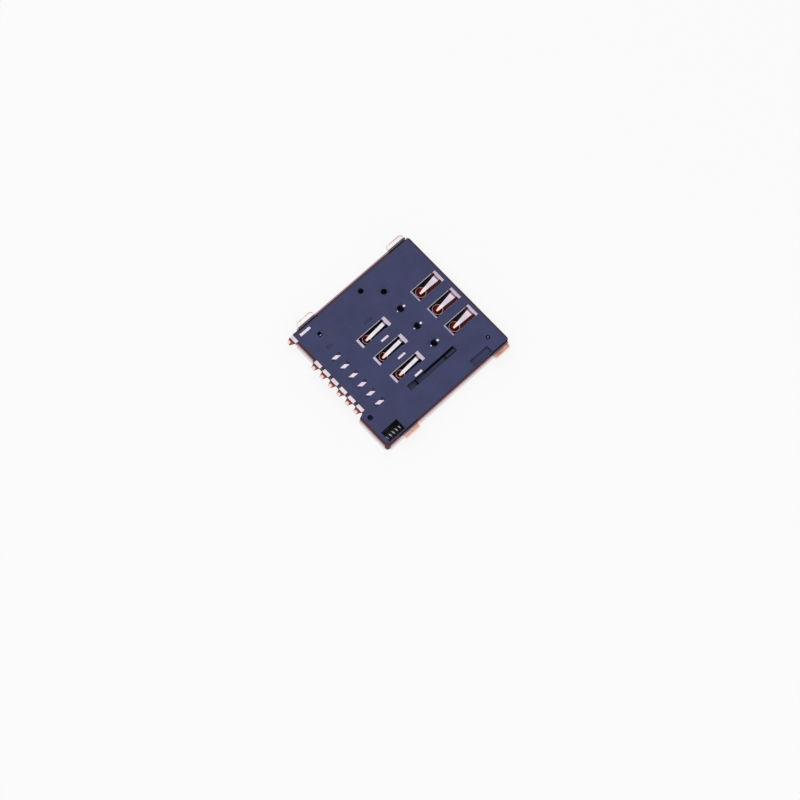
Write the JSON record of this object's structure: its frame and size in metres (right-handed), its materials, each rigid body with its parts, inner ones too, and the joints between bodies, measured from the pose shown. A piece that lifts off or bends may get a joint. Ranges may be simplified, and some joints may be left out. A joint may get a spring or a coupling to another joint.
{
  "type": "sim card socket",
  "caption": "Flat push-push micro SIM card socket: moulded housing with sprung contacts and solder tails, folded steel cover, sprung slider with a heart-cam latch.",
  "frame": {"origin": "centre of the contact field, midway between the two contact rows on the middle column, on the outer face of the cover", "axes": "+Z towards the circuit board, so the part lies on its cover as pictured; +Y out of the card mouth; +X towards the ejector side"},
  "size_m": [0.0168, 0.0172, 0.0015],
  "materials": {
    "housing_plastic": "matte moulded, dark slate blue",
    "slider_plastic": "matte moulded, dark slate blue",
    "cover_steel": "rolled sheet, satin",
    "contact_metal": "plated, satin, with bare copper-coloured cut edges",
    "wire_steel": "drawn wire, bright",
    "spring_steel": "drawn wire, dull"
  },
  "bodies": {
    "base": {"housing": "housing_plastic", "shell": "cover_steel", "contact_c1": "contact_metal", "contact_c2": "contact_metal", "contact_c3": "contact_metal", "contact_c5": "contact_metal", "contact_c6": "contact_metal", "contact_c7": "contact_metal", "detect_contact": "contact_metal", "eject_spring": "spring_steel"},
    "slider": {"slider": "slider_plastic"},
    "cam_pin": {"cam_pin": "wire_steel"}
  },
  "joints": [
    {"name": "slider_push", "type": "slide", "parent": "base", "child": "slider", "axis": [0, -1, 0], "range_m": [0, 0.005], "stiffness_N_per_m": 340, "deforming": ["eject_spring"]},
    {"name": "cam_pin_swing", "type": "hinge", "parent": "base", "child": "cam_pin", "pos_m": [0.00582, 0.00565, 0.0004], "axis": [0, 0, 1], "range_deg": [0, 6.6]}
  ],
  "couplings": [
    {"joint": "cam_pin_swing", "follows": "slider_push", "rad_per_m": 22.954}
  ]
}
